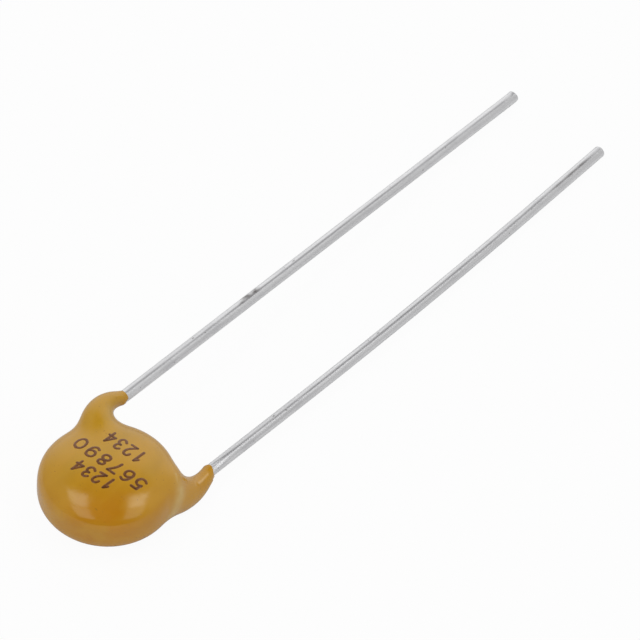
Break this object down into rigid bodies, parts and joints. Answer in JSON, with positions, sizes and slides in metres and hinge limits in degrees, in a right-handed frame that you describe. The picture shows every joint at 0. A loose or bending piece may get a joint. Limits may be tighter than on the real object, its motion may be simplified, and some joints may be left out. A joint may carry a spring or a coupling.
{
  "type": "metal oxide varistor",
  "caption": "Small radial-leaded disc varistor dipped in ochre lacquer, with two long straight tinned wire leads, for surge clamping on a circuit board.",
  "frame": {"origin": "centre of the part's box at the table that it lies on", "axes": "+Y along the leads away from the disc, +Z along the disc's axis, up from the table, +X across the leads from the front one to the rear one"},
  "size_m": [0.0068, 0.0383, 0.0035],
  "materials": {
    "lacquer": "glossy dipped lacquer",
    "tinned_wire": "satin tin plate",
    "solder": "satin",
    "film_metal": "matt fired metal",
    "sintered_oxide": "matt"
  },
  "bodies": {
    "root": {"coating": "lacquer", "ceramic_disc": "sintered_oxide", "front_electrode": "film_metal", "rear_electrode": "film_metal", "front_solder": "solder", "rear_solder": "solder", "front_lead": "tinned_wire", "rear_lead": "tinned_wire"}
  },
  "joints": []
}
